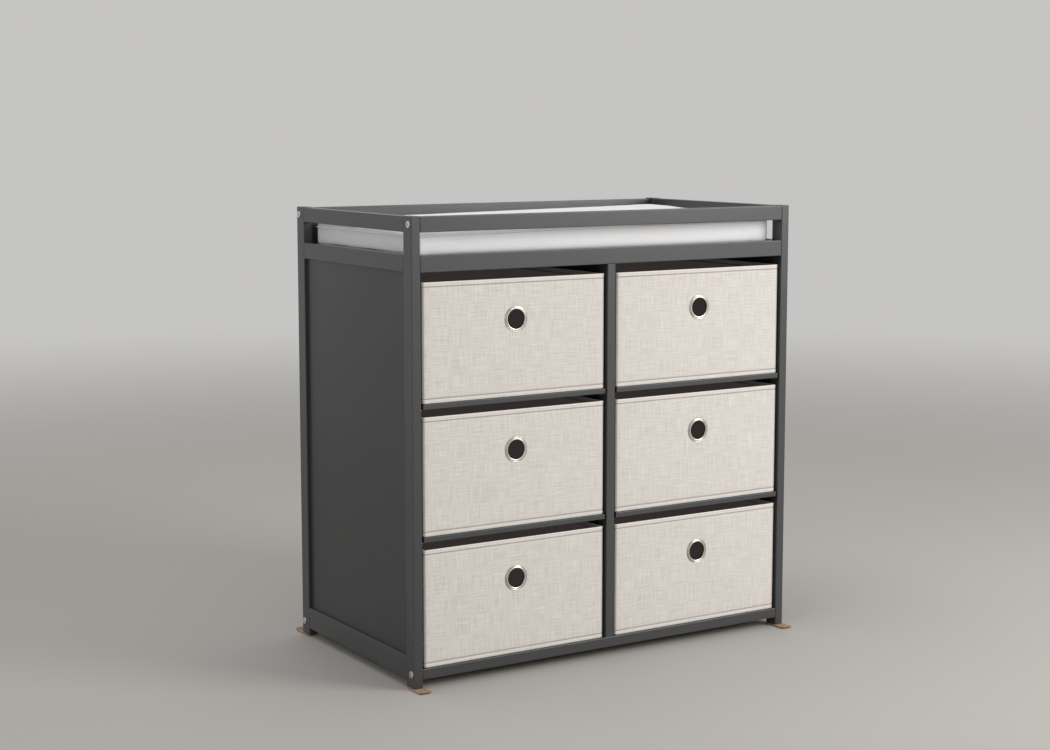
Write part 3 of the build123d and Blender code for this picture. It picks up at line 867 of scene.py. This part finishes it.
def rounded_outline(half_x, half_y, corner, pitch):
    """Points round a rectangle with round corners, each with its outward direction and how much
    of a corner it is, from 0 on the straight to 1 in the middle of a corner."""
    steps = 6
    points = []
    for quarter in range(4):
        sign_x = 1 if quarter in (0, 3) else -1
        sign_y = 1 if quarter in (0, 1) else -1
        centre = Vector((sign_x * (half_x - corner), sign_y * (half_y - corner), 0))
        for i in range(steps + 1):
            angle = math.radians(90 * (quarter + i / steps))
            out = Vector((math.cos(angle), math.sin(angle), 0))
            points.append((centre + out * corner, out, math.sin(math.pi * i / steps)))
        out = points[-1][1]
        run = half_x - corner if abs(out.y) > 0.5 else half_y - corner
        along = Vector((-out.y, out.x, 0))
        for place in even_cuts(0, 2 * run, pitch):
            points.append((centre + out * corner + along * place, out, 0.0))
    return points


def pull_ears(pad, middle, half):
    """Draw the upright corners of the pad outwards, as the tight corners of a sewn cover stand."""
    for vert in pad.data.vertices:
        place = vert.co - middle
        corner = min(
            max(0.0, 1 - (half[axis] - abs(place[axis])) / PAD_EAR_REACH) for axis in (0, 1)
        )
        for axis in (0, 1):
            vert.co[axis] += math.copysign(PAD_EAR * min(1.0, corner) ** 2, place[axis])


def make_welt(pad, lo, hi, low_top):
    """A welt round the upper edge of the pad: a cord of its own vinyl, laid on the cover."""
    bm = bmesh.new()
    bm.from_mesh(pad.data)
    surface = BVHTree.FromBMesh(bm)
    bm.free()
    middle = (lo + hi) / 2
    half = (hi - lo) / 2
    slope = (hi.z - low_top) / (hi.x - lo.x)
    welt = []
    for point, out, cornering in rounded_outline(half.x, half.y, PAD_CORNER, WELT_PITCH):
        height = low_top + slope * (point.x + middle.x - lo.x) - WELT_DROP
        start = Vector((point.x + middle.x, point.y + middle.y, height)) - out * WELT_SEARCH
        edge = start + out * WELT_SEARCH
        hit = surface.ray_cast(start, out)[0] or surface.find_nearest(edge)[0]
        welt.append(hit + out * (WELT_EAR * cornering))
    curve = bpy.data.curves.new("pad_welt", "CURVE")
    curve.dimensions = "3D"
    curve.bevel_depth = WELT_RADIUS
    curve.bevel_resolution = 2
    spline = curve.splines.new("NURBS")
    spline.points.add(len(welt) - 1)
    for target, place in zip(spline.points, welt):
        target.co = (*place, 1.0)
    spline.use_cyclic_u = True
    spline.order_u = 3
    piece = bpy.data.objects.new("pad_welt", curve)
    bpy.context.scene.collection.objects.link(piece)
    curve.materials.append(materials["vinyl"])
    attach(piece, "changing_pad")


def make_pad():
    """The pad: a wedge of foam in a crowned vinyl cover, with a welt round its upper edge."""
    source = nodes["changing_pad"].data
    lo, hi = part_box("changing_pad")
    middle = (lo + hi) / 2
    half = (hi - lo) / 2
    bm = bmesh.new()
    bm.from_mesh(source)
    bmesh.ops.remove_doubles(bm, verts=bm.verts, dist=TOUCH)
    low_top = max(vert.co.z for vert in bm.verts if vert.co.x < middle.x)
    shrink = Vector([(half[axis] - PAD_INSET[axis]) / half[axis] for axis in range(3)])
    bmesh.ops.translate(bm, verts=bm.verts, vec=-middle)
    bmesh.ops.scale(bm, verts=bm.verts, vec=shrink)
    bmesh.ops.translate(bm, verts=bm.verts, vec=middle)
    for vert in bm.verts:
        if vert.co.z > middle.z and vert.co.y > middle.y:
            vert.co.z += PAD_REAR_RISE
    pad = as_piece(bm, "pad_cover", materials["vinyl"], "changing_pad")
    remesh(pad, PAD_VOXEL)
    inflate(pad, PAD_PRESSURE, PAD_FRAMES, PAD_CAP)
    pull_ears(pad, middle, half)
    for vert in pad.data.vertices:
        vert.co.z = max(vert.co.z, lo.z)
    for polygon in pad.data.polygons:
        polygon.use_smooth = True
    if not pad.data.materials:
        pad.data.materials.append(materials["vinyl"])
    soft = pad.modifiers.new("softness", "SUBSURF")
    soft.levels = 1
    soft.render_levels = 1
    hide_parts("changing_pad")
    make_welt(pad, lo, hi, low_top)


# ---------------------------------------------------------------- stage


def make_floor():
    """A wide floor, just under the foot pads."""
    bm = bmesh.new()
    bmesh.ops.create_grid(bm, x_segments=8, y_segments=8, size=FLOOR_HALF)
    mesh = bpy.data.meshes.new("floor")
    bm.to_mesh(mesh)
    bm.free()
    mesh.materials.append(floor_paint())
    floor = bpy.data.objects.new("floor", mesh)
    bpy.context.scene.collection.objects.link(floor)


def make_lamp(name, place, aim, size, power, colour):
    """A square soft light at a place, turned towards a point."""
    light = bpy.data.lights.new(name, "AREA")
    light.size = size
    light.energy = power
    light.color = linear(colour)[:3]
    lamp = bpy.data.objects.new(name, light)
    bpy.context.scene.collection.objects.link(lamp)
    lamp.location = place
    lamp.rotation_euler = (aim - place).to_track_quat("-Z", "Y").to_euler()


def make_lights():
    """A large soft key from the right, a weak fill from the left, one from above, and pale air."""
    centre = (cad_lo + cad_hi) / 2
    for name, place, size, power, colour in LAMPS:
        make_lamp(name, place, centre, size, power, colour)
    world = bpy.data.worlds.new("studio")
    world.use_nodes = True
    background = world.node_tree.nodes["Background"]
    background.inputs["Color"].default_value = linear(AIR_COLOUR)
    background.inputs["Strength"].default_value = AIR_STRENGTH
    bpy.context.scene.world = world


def make_camera():
    """The camera, turned towards the front left corner and pitched down a little."""
    camera = bpy.data.cameras.new("camera")
    camera.lens = CAMERA_LENS
    camera.sensor_width = CAMERA_SENSOR
    camera.shift_y = CAMERA_SHIFT
    view = bpy.data.objects.new("camera", camera)
    bpy.context.scene.collection.objects.link(view)
    view.location = CAMERA_PLACE
    view.rotation_euler = (math.pi / 2 + CAMERA_PITCH, 0, -CAMERA_YAW)
    bpy.context.scene.camera = view


# ---------------------------------------------------------------- the whole table

bpy.context.scene.view_settings.view_transform = "Standard"
make_camera()

materials = {
    "pine": [lacquered_pine(axis) for axis in range(3)],
    "board": lacquered_board(),
    "hardboard": hardboard(),
    "beech": bare_beech(),
    "zinc": zinc_steel(),
    "nickel": nickel_steel(),
    "felt": pressed_felt(),
    "linen": linen_weave(),
    "lining": spunbond_lining(),
    "taupe_thread": sewing_thread(),
    "vinyl": coated_cloth(),
}

plain_slots = {
    "painted_board": "board",
    "back_board": "hardboard",
    "raw_timber": "beech",
    "zinc_steel": "zinc",
    "nickel": "nickel",
    "tan_felt": "felt",
    "linen_fabric": "linen",
    "base_cloth": "lining",
    "white_vinyl": "vinyl",
}
for subpart in frame["record"]["subparts"]:
    node = nodes[subpart["node"]]
    if subpart["material_slot"] == "painted_timber":
        low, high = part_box(subpart["node"])
        size = high - low
        surface_material = materials["pine"][max(range(3), key=lambda axis: size[axis])]
    else:
        surface_material = materials[plain_slots[subpart["material_slot"]]]
    node.data.materials.clear()
    node.data.materials.append(surface_material)

for seed, (row, side) in enumerate((row, side) for row in ROWS for side in SIDES):
    make_bin(row, side, seed * WAVE_STEP)
make_pad()
make_floor()
make_lights()
